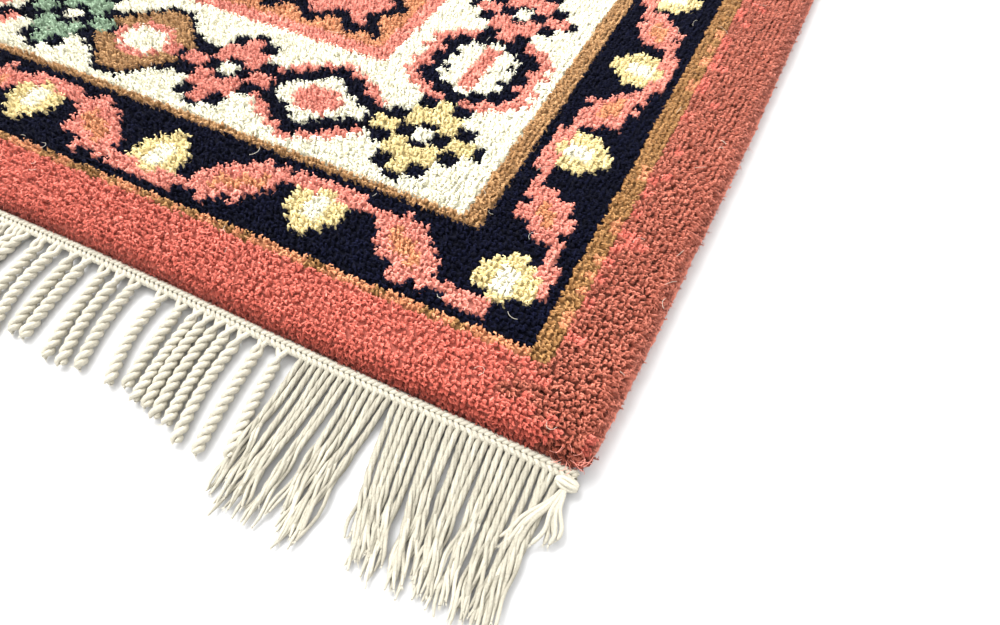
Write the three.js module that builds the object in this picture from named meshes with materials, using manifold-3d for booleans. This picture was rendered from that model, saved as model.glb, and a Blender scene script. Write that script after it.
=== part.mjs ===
// Oriental rug: a hand-knotted wool pile cloth that lies flat, with a cotton fringe at each end.
// Millimetres, +Z up. The floor is z = 0 and the fringed ends face -Y and +Y.
import * as THREE from "three";
import { mergeVertices } from "three/addons/utils/BufferGeometryUtils.js";
import Module from "manifold-3d";

// Knotted cloth
const KNOT = 4.5; // pitch of one knot of the pile, both ways
const COLUMNS_INSIDE = 112; // knots across, between the plain bands of the sides
const ROWS_INSIDE = 184; // knots along, between the plain bands of the ends
const SIDE_BAND = 46; // plain band at the middle of each side
const END_BAND = 34.5; // plain band at each end
const CORNER_PULL = 10; // how far the end cords draw each corner in
const PULL_EASE = 2.5; // power by which that pull fades towards mid-length
const CORNER_RADIUS = 7;
const EDGE_WAVE = 0.7; // hand-beaten unevenness of the four edges
const THICKNESS = 13; // foundation and clipped pile together

const WIDTH = COLUMNS_INSIDE * KNOT + 2 * SIDE_BAND;
const LENGTH = ROWS_INSIDE * KNOT + 2 * END_BAND;
const END_WIDTH = WIDTH - 2 * CORNER_PULL;

// The edge in section, from the floor up: how far the surface stands in from the outline.
const EDGE_SECTION = [
  { inset: 2.0, height: 0 },
  { inset: 0.5, height: 1.2 },
  { inset: 0, height: 3.2 },
  { inset: 0.2, height: 6.5 },
  { inset: 1.4, height: 10 },
  { inset: 3.4, height: 12.1 },
  { inset: 7, height: THICKNESS },
];
const SIDE_STEPS = 26;
const END_STEPS = 18;
const CORNER_STEPS = 5;

// Fringe: warp ends that pass a twined strip
const PIECE_GAP = 0.3;
const STRIP_WIDTH = 4.5;
const STRIP_HEIGHT = 3;
const STRIP_SETBACK = 3; // from the cloth's corner to the end of the strip
const STRIP_STEPS = 24;
const ROOT_DEPTH = 2.5; // how far a strand runs into the strip
const STRAND_STEPS = 4;
const LOOSE = { rootSize: 2, tipSize: 1.5 };
const CORD = { rootSize: 3.2, tipSize: 2.8 };

// Loose warp ends, from the right corner leftwards: each row is one bunch. Roots and tips run
// evenly from the first to the last, measured leftwards from the right end of the strip.
const LOOSE_BUNCHES = [
  { count: 2, firstRoot: 0.8, lastRoot: 3.6, firstTip: -1.6, lastTip: 1.6, reach: 27 },
  { count: 20, firstRoot: 6.6, lastRoot: 70, firstTip: 5.5, lastTip: 56, reach: 52 },
  { count: 12, firstRoot: 73.4, lastRoot: 111, firstTip: 73, lastTip: 110, reach: 54.5 },
];
const REACH_UNEVEN = 3.5; // how far neighbouring loose ends differ in length

// Twisted cords follow, a row for each: root distance from the cord before, how far the tip
// swings to the right, and the reach past the strip. The table repeats to the left corner.
const CORDS = [
  { step: 9, swing: 9, reach: 43 },
  { step: 9, swing: 7, reach: 47 },
  { step: 9, swing: 7, reach: 47 },
  { step: 6, swing: 5.5, reach: 43 },
  { step: 5.5, swing: 5.2, reach: 43 },
  { step: 5.5, swing: 5, reach: 41 },
  { step: 5.5, swing: 5, reach: 41 },
  { step: 8, swing: 6.5, reach: 38 },
  { step: 10, swing: 10, reach: 40 },
  { step: 14, swing: 9, reach: 40 },
  { step: 8, swing: 10, reach: 42 },
  { step: 8, swing: 10.5, reach: 42 },
  { step: 10, swing: 6, reach: 39 },
  { step: 7, swing: 7, reach: 39 },
];
const LAST_ROOT_MARGIN = 4;
const SAG = 0.22; // share of the swing by which a strand bows on its way

const wasm = await Module();
wasm.setup();

// A closed geometry from rings of equally many points, with a fan at each end.
function loft(rings) {
  const count = rings[0].length;
  const points = rings.flat();
  const centreOf = (ring) =>
    ring.reduce((sum, p) => sum.add(p), new THREE.Vector3()).divideScalar(count);
  const faces = [];
  for (let r = 0; r + 1 < rings.length; r++) {
    for (let i = 0; i < count; i++) {
      const a = r * count + i;
      const b = r * count + ((i + 1) % count);
      faces.push(a, b, b + count, a, b + count, a + count);
    }
  }
  const first = points.push(centreOf(rings[0])) - 1;
  const last = points.push(centreOf(rings[rings.length - 1])) - 1;
  const lastRing = (rings.length - 1) * count;
  for (let i = 0; i < count; i++) {
    const next = (i + 1) % count;
    faces.push(first, next, i);
    faces.push(last, lastRing + i, lastRing + next);
  }
  return new THREE.BufferGeometry().setFromPoints(points).setIndex(faces);
}

function solidOf(geometry) {
  const welded = mergeVertices(geometry, 1e-4);
  return new wasm.Manifold(
    new wasm.Mesh({
      numProp: 3,
      vertProperties: welded.attributes.position.array,
      triVerts: new Uint32Array(welded.index.array),
    }),
  );
}

function geometryOf(solid) {
  const mesh = solid.getMesh();
  return new THREE.BufferGeometry()
    .setAttribute("position", new THREE.BufferAttribute(mesh.vertProperties, 3))
    .setIndex(new THREE.BufferAttribute(mesh.triVerts, 1));
}

const wave = (along, turns, phase) =>
  EDGE_WAVE * Math.sin(2 * Math.PI * (turns * along + phase));

// The side's distance from the middle at a place along the rug, drawn in towards the corners.
function halfWidthAt(y) {
  const share = Math.min(1, Math.abs(y) / (LENGTH / 2));
  return WIDTH / 2 - CORNER_PULL * share ** PULL_EASE;
}

// The end's distance from the middle at a place across the rug; half a turn maps it on itself.
function halfLengthAt(x) {
  const fade = Math.max(0, 1 - Math.abs((2 * x) / END_WIDTH) ** 6);
  return LENGTH / 2 - EDGE_WAVE * fade + wave(x / END_WIDTH, 2.5, 0.1) * fade;
}

// One round of the outline, counter-clockwise from the right side's front, with its normals.
function outline() {
  const quarter = [];
  const straight = LENGTH - 2 * CORNER_RADIUS;
  for (let i = 0; i < SIDE_STEPS; i++) {
    const y = -straight / 2 + (straight * i) / SIDE_STEPS;
    const fade = 1 - Math.abs((2 * y) / straight) ** 6;
    const x = halfWidthAt(y) - EDGE_WAVE * fade + wave(y / LENGTH, 4, 0.35) * fade;
    quarter.push({ x, y, nx: 1, ny: 0 });
  }
  const cornerX = halfWidthAt(straight / 2) - CORNER_RADIUS;
  const cornerY = LENGTH / 2 - CORNER_RADIUS;
  for (let i = 0; i < CORNER_STEPS; i++) {
    const turn = ((Math.PI / 2) * i) / CORNER_STEPS;
    const nx = Math.cos(turn);
    const ny = Math.sin(turn);
    const x = cornerX + CORNER_RADIUS * nx;
    const y = cornerY + CORNER_RADIUS * ny;
    quarter.push({ x, y, nx, ny });
  }
  for (let i = 0; i < END_STEPS; i++) {
    const x = cornerX - (2 * cornerX * i) / END_STEPS;
    quarter.push({ x, y: halfLengthAt(x), nx: 0, ny: 1 });
  }
  for (let i = 0; i < CORNER_STEPS; i++) {
    const turn = Math.PI / 2 + ((Math.PI / 2) * i) / CORNER_STEPS;
    const nx = Math.cos(turn);
    const ny = Math.sin(turn);
    const x = -cornerX + CORNER_RADIUS * nx;
    const y = cornerY + CORNER_RADIUS * ny;
    quarter.push({ x, y, nx, ny });
  }
  const turned = quarter.map((p) => ({ x: -p.x, y: -p.y, nx: -p.nx, ny: -p.ny }));
  return [...quarter, ...turned];
}

function rugGeometry() {
  const round = outline();
  const rings = EDGE_SECTION.map(({ inset, height }) =>
    round.map((p) => new THREE.Vector3(p.x - inset * p.nx, p.y - inset * p.ny, height)),
  );
  return loft(rings);
}

// Place along the front end, measured leftwards from the right end of the strip.
const stripRight = END_WIDTH / 2 - STRIP_SETBACK;
const fromRight = (distance) => stripRight - distance;
const stripInner = (x) => -(halfLengthAt(-x) + PIECE_GAP);

function stripGeometry() {
  const rings = [];
  for (let i = 0; i <= STRIP_STEPS; i++) {
    const x = -stripRight + (2 * stripRight * i) / STRIP_STEPS;
    const inner = stripInner(x);
    rings.push([
      new THREE.Vector3(x, inner - STRIP_WIDTH, 0),
      new THREE.Vector3(x, inner, 0),
      new THREE.Vector3(x, inner, STRIP_HEIGHT),
      new THREE.Vector3(x, inner - STRIP_WIDTH, STRIP_HEIGHT),
    ]);
  }
  return loft(rings);
}

// A four-sided strand that lies on the floor from inside the strip to its tip.
function strandGeometry({ root, tip, reach, size }) {
  const start = stripInner(root) - STRIP_WIDTH + ROOT_DEPTH;
  const rings = [];
  for (let i = 0; i <= STRAND_STEPS; i++) {
    const share = i / STRAND_STEPS;
    const bow = SAG * (tip - root) * Math.sin(Math.PI * share);
    const x = root + (tip - root) * share - bow;
    const y = start - (ROOT_DEPTH + reach) * share;
    const side = THREE.MathUtils.lerp(size.rootSize, size.tipSize, share);
    rings.push([
      new THREE.Vector3(x - side / 2, y, 0),
      new THREE.Vector3(x + side / 2, y, 0),
      new THREE.Vector3(x + side / 2, y, side),
      new THREE.Vector3(x - side / 2, y, side),
    ]);
  }
  return loft(rings);
}

function looseStrands() {
  return LOOSE_BUNCHES.flatMap((bunch) => {
    const { count, firstRoot, lastRoot, firstTip, lastTip, reach } = bunch;
    return Array.from({ length: count }, (_, i) => {
      const share = i / (count - 1);
      const uneven = REACH_UNEVEN * Math.sin(2.4 * i);
      return {
        root: fromRight(THREE.MathUtils.lerp(firstRoot, lastRoot, share)),
        tip: fromRight(THREE.MathUtils.lerp(firstTip, lastTip, share)),
        reach: reach + uneven,
        size: LOOSE,
      };
    });
  });
}

function twistedCords() {
  const cords = [];
  let distance = LOOSE_BUNCHES[LOOSE_BUNCHES.length - 1].lastRoot;
  for (let i = 0; ; i++) {
    const { step, swing, reach } = CORDS[i % CORDS.length];
    distance += step;
    if (distance > 2 * stripRight - LAST_ROOT_MARGIN) return cords;
    const root = fromRight(distance);
    cords.push({ root, tip: root + swing, reach, size: CORD });
  }
}

function fringeGeometry() {
  const strands = [...looseStrands(), ...twistedCords()];
  const solids = [stripGeometry(), ...strands.map(strandGeometry)].map(solidOf);
  return geometryOf(wasm.Manifold.union(solids));
}

function addNode(group, name, geometry, material) {
  const mesh = new THREE.Mesh(geometry, new THREE.MeshStandardMaterial(material));
  mesh.name = name;
  group.add(mesh);
  return mesh;
}

const wool = { color: 0xc0604f, roughness: 0.95, metalness: 0 };
const cotton = { color: 0xe2d9c3, roughness: 0.9, metalness: 0 };

const rug = new THREE.Group();
addNode(rug, "rug", rugGeometry(), wool);
addNode(rug, "fringe_front", fringeGeometry(), cotton);
addNode(rug, "fringe_back", fringeGeometry().rotateZ(Math.PI), cotton);

export default rug;
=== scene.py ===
"""Oriental rug: clipped wool knots on a cotton foundation, with a cotton fringe at both ends.

Lengths are in millimetres, or in metres where a name ends in _M. A pair of numbers is a range, or
a mean and its spread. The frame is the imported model's: +Z up, floor at z = 0, fringed ends at -Y
and +Y.
"""

import functools
import math

import bpy
import numpy as np
from mathutils import Matrix, Vector


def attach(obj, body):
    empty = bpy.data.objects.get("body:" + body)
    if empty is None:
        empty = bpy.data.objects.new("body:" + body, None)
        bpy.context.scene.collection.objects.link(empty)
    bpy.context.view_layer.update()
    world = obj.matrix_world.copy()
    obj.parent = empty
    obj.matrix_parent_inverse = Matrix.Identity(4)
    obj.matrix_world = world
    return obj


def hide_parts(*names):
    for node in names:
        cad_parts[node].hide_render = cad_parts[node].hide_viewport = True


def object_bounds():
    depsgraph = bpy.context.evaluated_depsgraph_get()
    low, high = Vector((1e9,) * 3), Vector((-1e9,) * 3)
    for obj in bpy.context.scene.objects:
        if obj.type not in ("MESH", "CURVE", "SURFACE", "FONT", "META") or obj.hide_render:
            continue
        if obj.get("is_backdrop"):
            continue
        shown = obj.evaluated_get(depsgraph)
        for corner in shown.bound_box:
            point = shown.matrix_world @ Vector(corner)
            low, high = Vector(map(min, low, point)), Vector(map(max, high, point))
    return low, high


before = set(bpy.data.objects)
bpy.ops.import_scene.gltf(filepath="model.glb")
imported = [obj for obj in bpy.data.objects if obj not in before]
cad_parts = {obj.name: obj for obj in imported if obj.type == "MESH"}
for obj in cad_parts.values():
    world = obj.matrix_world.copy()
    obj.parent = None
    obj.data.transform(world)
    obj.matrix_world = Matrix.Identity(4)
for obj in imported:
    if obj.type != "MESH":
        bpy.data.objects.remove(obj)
cad_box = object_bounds()

MM = 0.001
SEED = 1687

# Cloth
KNOT = 4.5
COLUMNS_INSIDE = 112
ROWS_INSIDE = 184
SIDE_BAND = 46.0
END_BAND = 34.5
CORNER_PULL = 10.0
PULL_EASE = 2.5
CORNER_RADIUS = 7.0
EDGE_WAVE = 0.7
EDGE_WAVES = 2.5
EDGE_WAVE_START = 0.1
EDGE_WAVE_FADE = 6
THICKNESS = 13.0
COVER_DEPTH = 3.2
# Painted shade: the cover under the tufts and the rim walls are yarn colours darkened by this share
COVER_PAINTED_SHADE = 0.45
WIDTH = COLUMNS_INSIDE * KNOT + 2 * SIDE_BAND
LENGTH = ROWS_INSIDE * KNOT + 2 * END_BAND
END_WIDTH = WIDTH - 2 * CORNER_PULL

# Pattern, in knots from the edge inwards
SIDE_PLAIN, SIDE_LINE, SIDE_VINE, SIDE_GUARD, SIDE_MAIN = 8, 2, 10, 2, 19
END_PLAIN, END_LINE, END_VINE, END_GUARD, END_MAIN = 8, 1, 10, 1, 17
SIDE_OUTER = SIDE_PLAIN + SIDE_LINE
END_OUTER = END_PLAIN + END_LINE
COLUMNS = COLUMNS_INSIDE + 2 * SIDE_OUTER
ROWS = ROWS_INSIDE + 2 * END_OUTER
MOTIF_LINE_END, MOTIF_LINE_SIDE = 28.3, 31.1
END_MOTIF_STEPS = (12.9, 12.4, 11.1, 11.3, 11.0, 11.1)
SIDE_MOTIF_STEPS = (12.8, 11.7) + (12.09,) * 10
FLOWER_LINE_END, FLOWER_LINE_SIDE = 13.6, 14.6
CORNER_FLOWER = 14.5, 15.3
END_LEAF, SIDE_LEAF = (4.8, 0.5, 2.9), (3.8, 0.3, 2.6)  # reach along, slope, half width
END_FLOWER_STEPS = (19.4, 18.4, 17.9, 15.2, 15.2, 15.3)
SIDE_FLOWER_STEPS = (18.0, 16.7, 16.2) + (17.44,) * 7
VINE_MARGIN = 1.8
VINE_PAST, VINE_SHOWN_PAST = 0.2, 0.15
VINE_HALF = 0.75
VINE_SQUARENESS = 0.7
LEAF_TAPER = 2.5
LEAF_TOOTH = 0.45
TEETH_PER_KNOT = 0.75
TOOTHED_SHARE = 0.75
VEIN_HALF, VEIN_SHARE = 0.8, 0.5
INNER_LINE = 2
ZIGZAG_PITCH = 6.0
ZIGZAG_NEAR, ZIGZAG_SWING = 2.6, 2.6

# Mixed yarns: the corners' red, as shares of the plain bands' widths, and the outer line
CORNER_MIX = 1.7
CORNER_SLOPE, CORNER_SHIFT = 1.2, 0.25
RUSSET_MOST, RUSSET_FADE = 1.5, 0.9
SIDE_LINE_MIX, END_LINE_MIX = 0.35, 0.65

# Pile
EDGE_ROUND_ACROSS = 7.0
EDGE_ROUND_DOWN = 9.0
SIDE_LAST_ANGLE = math.radians(82)
END_LAST_ANGLE = math.radians(88)
TUFTS = ((-0.31, -0.25), (0.19, -0.25), (-0.19, 0.25), (0.31, 0.25))
TUFT_JITTER = 0.055
RIM_MARGIN = 0.05
# Painted shade: tufts darker where the pile turns down over the edges, and near the fringed ends
EDGE_PAINTED_SHADE = 0.42
END_PAINTED_SHADE = 0.3
END_SHADE_REACH = 11.0
# Near the sides the tufts are lighter; the raised slanted ribs get painted light on their crests and
# painted shade between them
OVERCAST_WIDTH = 10.0
OVERCAST_PITCH = 7.5
OVERCAST_SLANT = 0.7
OVERCAST_TONE = 0.26
OVERCAST_RIB_SHADING = 0.34
OVERCAST_RIB_HEIGHT = 0.6
ROW_TONE, ROW_TONE_SPREAD, ROW_TONE_REACH = 0.05, 1.6, 9
KNOT_TONE_UNEVEN = 0.05
TUFT_TONE_UNEVEN = 0.07
TUFT_UNEVEN = 0.34
TUFT_SINK = 0.35
SWELL_HEIGHT = 0.3
SWELL_ACROSS, SWELL_ALONG, SWELL_START = 31, 37, 0.8
SWELL_BEND, SWELL_BEND_ALONG = 1.3, 53
TUFT_DEPTH = 2.8
TUFT_LEAN = (0.5, -0.28, 0.0)
LEAN_UNEVEN = 0.16
TUFT_STRETCH = 1.2
FOOT_RADIUS = 1.6
FOOT_UNEVEN = 0.13
FOOT_SOFTNESS = 0.4
RIM_LIFT = 0.05
FIBRES = 4
FIBRE_HALF_WIDTH = 0.33
FIBRE_LENGTH = 1.3, 2.2
FIBRE_WIDTHS = 0.7, 1.3
FIBRE_SPREAD = 0.4
FIBRE_FOLLOW = 1.3
FIBRE_RISE = 0.2, 0.65
FIBRE_STRAY = 0.8
FIBRE_HEIGHT = 0.05, 0.25
FIBRE_SOFTNESS = 0.5
FIBRE_TONE_UNEVEN = 0.1
# Painted shade along each fibre: darker at its root, lighter at its tip
FIBRE_ROOT_TIP_SHADES = 0.9, 0.9, 1.15

# Loose hairs on the pile
HAIR_STATIONS = 6
HAIR_RADIUS = 0.08
HAIR_RISE = 0.3
HAIR_TONE = 1.1, 0.15
HAIRS = 300
HAIR_MARGIN = 0.5
LINT_LENGTH, LINT_BEND, LINT_LIFT = (2.5, 8.0), 1.0, 0.8
CORNER_ENDS = 56
CORNER_COLUMNS, CORNER_ROWS = (0.1, 4), (0.1, 2)
CORNER_LENGTH, CORNER_BEND, CORNER_LIFT = (3, 7), 0.7, 1.5

# Fringe
PIECE_GAP = 0.3
STRIP_WIDTH = 4.5
STRIP_SETBACK = 3.0
LOOSE_BUNCHES = (
    # count, first and last root, first and last tip from the strip's right end, reach
    (24, 5.4, 70.0, 5.0, 56.0, 52.0),
    (14, 73.0, 111.0, 73.0, 110.0, 54.5),
)
REACH_UNEVEN, REACH_TURN = 3.5, 2.4
CORDS = (
    # step from the cord before, swing of the tip to the right, reach
    (9.0, 9.0, 43.0),
    (9.0, 7.0, 47.0),
    (9.0, 7.0, 47.0),
    (6.0, 5.5, 43.0),
    (5.5, 5.2, 43.0),
    (5.5, 5.0, 41.0),
    (5.5, 5.0, 41.0),
    (8.0, 6.5, 38.0),
    (10.0, 10.0, 40.0),
    (14.0, 9.0, 40.0),
    (8.0, 10.0, 42.0),
    (8.0, 10.5, 42.0),
    (10.0, 6.0, 39.0),
    (7.0, 7.0, 39.0),
)
LAST_ROOT_MARGIN = 4.0

# Yarn colours, linear, and the painted shade at the tufts' feet: how light the pile stays between its
# tufts
YARN = {
    "coral": (0.78, 0.205, 0.150),
    "russet": (0.55, 0.172, 0.115),
    "rose": (0.88, 0.325, 0.250),
    "navy": (0.003, 0.004, 0.017),
    "ivory": (0.99, 0.95, 0.75),
    "brown": (0.53, 0.30, 0.135),
    "tan": (0.45, 0.235, 0.09),
    "amber": (0.76, 0.33, 0.165),
    "yellow": (0.88, 0.72, 0.36),
    "green": (0.38, 0.52, 0.36),
}
ROOT_SHADE = {
    "coral": 0.6,
    "russet": 0.35,
    "rose": 0.7,
    "navy": 0.6,
    "ivory": 1.0,
    "brown": 0.55,
    "tan": 0.55,
    "amber": 0.65,
    "yellow": 0.8,
    "green": 0.65,
}
# Painted shade: gamma that darkens and enriches the yarn colours where the shade value is low
PAINTED_SHADE_GAMMA = 1.5
YARN_KEYS = tuple(YARN)
COTTON = (0.56, 0.525, 0.43)

# Motifs, each the upper left quarter, mirrored both ways: n navy, c rose, b brown, i ivory,
# p the petal colour, a dot for the ground.
STAR = (
    "......n",
    "....nnp",
    "....nnp",
    "....ppp",
    "..nnppp",
    "..nnppn",
    "npppnni",
)
LOZENGE = (
    ".......c",
    ".....ccn",
    "...ccnnn",
    "..ccnnni",
    ".cnnnnii",
    "nnnniicc",
    "nniiiccc",
)
OCTAGON = (
    "....cccn",
    "..cccnnn",
    ".ccnnnni",
    "ccnnniic",
    ".cnniiic",
    "cccnniic",
    ".cnniiic",
)
ROSETTE = (
    "......nn",
    ".....nbb",
    "....nbbb",
    "..nnbbbb",
    ".nnbbbcc",
    ".nbbbcii",
    "nbbcciii",
)
# The small flower of the vine border, whole.
FLOWER = (
    "..yy..",
    "yyiiyy",
    "yyiiyy",
    "yyiiyy",
    ".yyyy.",
    "..yy..",
)
LETTERS = {"n": "navy", "c": "rose", "b": "brown", "i": "ivory", "y": "yellow"}


def key(name):
    return YARN_KEYS.index(name)


def stamp(chart, rows, row, column, petals="rose"):
    """Paint the lettered rows of a motif on the chart, its centre at row and column."""
    top = int(round(row + len(rows) / 2)) - 1
    left = int(round(column - len(rows[0]) / 2))
    for i, line in enumerate(rows):
        for j, letter in enumerate(line):
            if letter == ".":
                continue
            name = petals if letter == "p" else LETTERS[letter]
            chart[top - i, left + j] = key(name)


def whole(quarter):
    """A motif from its upper left quarter."""
    half = [line + line[::-1] for line in quarter]
    return half + half[::-1]


def turned(rows):
    """Rows of a motif read as columns, for the side borders."""
    return ["".join(line[i] for line in rows) for i in range(len(rows[0]))]


def places(steps, first):
    """Places of motifs along a border, from the first one and the steps between them."""
    return first + np.concatenate([[0.0], np.cumsum(steps)])


def vine_border(length, width, flowers, leaf):
    """Masks of a meandering vine, its leaves and their veins, along and across a border."""
    leaf_reach, leaf_slope, leaf_half = leaf
    middle = width / 2
    swing = middle - VINE_MARGIN
    along, across = np.meshgrid(np.arange(length) + 0.5, np.arange(width) + 0.5, indexing="ij")
    last = len(flowers) - 1
    turns = np.arange(len(flowers))
    phase = np.interp(along, flowers, turns, left=-VINE_PAST, right=last + VINE_PAST)
    step = np.gradient(np.interp(along[:, 0], flowers, turns))
    step = 1 / np.maximum(step, 1e-3)[:, None]
    wave = -np.cos(math.pi * phase)
    centre = middle + swing * np.sign(wave) * np.abs(wave) ** VINE_SQUARENESS
    slope = swing * math.pi / step * np.abs(np.sin(math.pi * phase))
    vine = np.abs(across - centre) / np.sqrt(1 + slope**2) < VINE_HALF
    leaf_at = np.round(phase - 0.5) + 0.5
    rise = np.where(np.floor(leaf_at) % 2 == 0, 1.0, -1.0)
    far = (phase - leaf_at) * step
    off = (across - middle) - rise * leaf_slope * far
    tooth = LEAF_TOOTH * np.where(np.floor(along * TEETH_PER_KNOT) % 2 == 0, 1.0, -1.0)
    half = leaf_half * (1 - np.abs(far / leaf_reach) ** LEAF_TAPER)
    half = half + tooth * (np.abs(far) < TOOTHED_SHARE * leaf_reach)
    blade = (np.abs(off) < half) & (np.abs(far) < leaf_reach)
    vein = blade & (np.abs(off) < VEIN_HALF) & (np.abs(far) < VEIN_SHARE * leaf_reach)
    inside = (phase > -VINE_SHOWN_PAST) & (phase < last + VINE_SHOWN_PAST)
    return (vine | blade) & inside, vein & inside


def design():
    """The colour key of every knot, rows from the front end and columns from the left side."""
    chart = np.full((ROWS, COLUMNS), key("coral"), np.uint8)
    rng = np.random.default_rng(SEED)

    def band(rows_in, columns_in, name):
        chart[rows_in : ROWS - rows_in, columns_in : COLUMNS - columns_in] = key(name)

    end = np.cumsum([END_PLAIN, END_LINE, END_VINE, END_GUARD, END_MAIN])
    side = np.cumsum([SIDE_PLAIN, SIDE_LINE, SIDE_VINE, SIDE_GUARD, SIDE_MAIN])
    band(end[0], side[0], "tan")
    band(end[1], side[1], "navy")
    band(end[2], side[2], "brown")
    band(end[3], side[3], "ivory")
    band(end[4], side[4], "rose")

    # The plain bands of the sides are a browner, darker red, mixed with the ends' red at the corners.
    rows, columns = np.meshgrid(np.arange(ROWS), np.arange(COLUMNS), indexing="ij")
    from_end = np.minimum(rows, ROWS - 1 - rows) / END_PLAIN
    from_side = np.minimum(columns, COLUMNS - 1 - columns) / SIDE_PLAIN
    russet_share = 0.5 + (CORNER_SLOPE * from_end + CORNER_SHIFT - from_side) / CORNER_MIX
    russet_share = np.minimum(russet_share, RUSSET_MOST - RUSSET_FADE * from_side)
    russet = rng.random(chart.shape) < russet_share
    chart[russet & ((from_side < 1) | (from_end < 1))] = key("russet")

    # The outer line is of mixed yarn, lighter along the ends.
    for column in (SIDE_PLAIN, COLUMNS - 1 - SIDE_PLAIN):
        mixed = rng.random(ROWS) < SIDE_LINE_MIX
        mixed[: end[1]] = mixed[ROWS - end[1] :] = False
        chart[mixed, column] = key("amber")
    for row in (END_PLAIN, ROWS - 1 - END_PLAIN):
        mixed = rng.random(COLUMNS) < END_LINE_MIX
        mixed[: side[1]] = mixed[COLUMNS - side[1] :] = False
        chart[row, mixed] = key("amber")

    inner_guard(chart, end[4], side[4])
    vines(chart, end, side)
    main_border(chart)
    return chart


def inner_guard(chart, rows_in, columns_in):
    """Rose and amber lines round the field, parted from it by a navy zigzag."""
    rows, columns = np.meshgrid(np.arange(ROWS), np.arange(COLUMNS), indexing="ij")
    from_end = np.minimum(rows, ROWS - 1 - rows) - rows_in
    from_side = np.minimum(columns, COLUMNS - 1 - columns) - columns_in
    depth = np.minimum(from_end, from_side)
    along = np.where(from_end < from_side, columns - COLUMNS / 2 + 0.5, rows - ROWS / 2 + 0.5)
    tooth = np.abs((np.abs(along) / ZIGZAG_PITCH + 0.5) % 1.0 - 0.5) * 2
    line = np.round(ZIGZAG_NEAR + ZIGZAG_SWING * tooth)
    chart[(depth >= INNER_LINE) & (depth < line)] = key("amber")
    chart[(depth >= line) & (depth <= line + 1)] = key("navy")


def vines(chart, end, side):
    """The vine borders, drawn for the front end and right side and turned half round."""
    corner_row, corner_column = CORNER_FLOWER
    end_flowers = places(END_FLOWER_STEPS, corner_column)
    side_flowers = places(SIDE_FLOWER_STEPS, corner_row)
    for view in (chart[:, ::-1], chart[::-1]):
        for_end = view[end[1] : end[2], side[1] : COLUMNS - side[1]].T
        for_side = view[end[1] : ROWS - end[1], side[1] : side[2]]
        borders = (
            (for_end, end_flowers - side[1], END_LEAF),
            (for_side, side_flowers - end[1], SIDE_LEAF),
        )
        for border, flowers, leaf in borders:
            leaves, veins = vine_border(*border.shape, flowers, leaf)
            border[leaves] = key("rose")
            border[veins] = key("amber")
        for i, place in enumerate(end_flowers[1:-1]):
            stamp(view, FLOWER[::-1] if i % 2 else FLOWER, FLOWER_LINE_END, place)
        for i, place in enumerate(side_flowers[1:-1]):
            rows = turned(FLOWER if i % 2 else FLOWER[::-1])
            stamp(view, rows, place, FLOWER_LINE_SIDE)
        for row in (corner_row, ROWS - corner_row):
            stamp(view, FLOWER[::-1], row, corner_column)


def main_border(chart):
    """Medallions, stars and rosettes in turn, from the front right corner and turned half round."""
    row_line, column_line = MOTIF_LINE_END, MOTIF_LINE_SIDE
    across = places(END_MOTIF_STEPS, column_line)
    along = places(SIDE_MOTIF_STEPS, row_line)
    forms = ("star", "medallion", "star", "rosette")

    def run(view, spots, medallion):
        last = len(spots) - 1
        motifs = {"star": STAR, "medallion": medallion, "rosette": ROSETTE}
        for form in ("medallion", "rosette", "star"):
            for i in range(1, last):
                near = min(i, last - i)
                if forms[near % 4] == form:
                    petals = "rose" if i % 4 == 2 else "green"
                    stamp(view, whole(motifs[form]), *spots[i], petals)

    for view in (chart[:, ::-1], chart[::-1]):
        run(view, [(row_line, place) for place in across], LOZENGE)
        run(view, [(place, column_line) for place in along], OCTAGON)
    for row in (row_line, ROWS - row_line):
        for column in (column_line, COLUMNS - column_line):
            stamp(chart, whole(STAR), row, column, "yellow")


# Cloth form


def half_width_at(y):
    share = np.minimum(1, np.abs(y) / (LENGTH / 2))
    return WIDTH / 2 - CORNER_PULL * share**PULL_EASE


def half_length_at(x):
    """Distance of the back end from the middle; half a turn gives the front end."""
    fade = np.maximum(0, 1 - np.abs(2 * x / END_WIDTH) ** EDGE_WAVE_FADE)
    wave = EDGE_WAVE * np.sin(2 * np.pi * (EDGE_WAVES * x / END_WIDTH + EDGE_WAVE_START))
    return LENGTH / 2 - EDGE_WAVE * fade + wave * fade


def end_reach(x, y):
    return np.where(y > 0, half_length_at(x), half_length_at(-x))


def over_edge(inner, outer, share, last_angle):
    """Follow the pile from the flat top over a rounded edge: distance out and turn at a share."""
    flat = outer - EDGE_ROUND_ACROSS - inner
    arc = last_angle * math.hypot(EDGE_ROUND_ACROSS, EDGE_ROUND_DOWN) / math.sqrt(2)
    run = share * (flat + arc)
    angle = np.clip((run - flat) / arc, 0, 1) * last_angle
    out = inner + np.minimum(run, flat) + EDGE_ROUND_ACROSS * np.sin(angle)
    return out, angle


def round_corner(x, y):
    """Draw the square corners of the cloth in to its corner radius."""
    past_x = np.abs(x) - (half_width_at(y) - CORNER_RADIUS)
    past_y = np.abs(y) - (end_reach(x, y) - CORNER_RADIUS)
    corner = (past_x > 0) & (past_y > 0)
    reach = np.maximum(np.hypot(past_x, past_y), 1e-6)
    share = np.where(corner, np.maximum(past_x, past_y) / reach, 1) - 1
    return x + np.sign(x) * past_x * share, y + np.sign(y) * past_y * share


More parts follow.
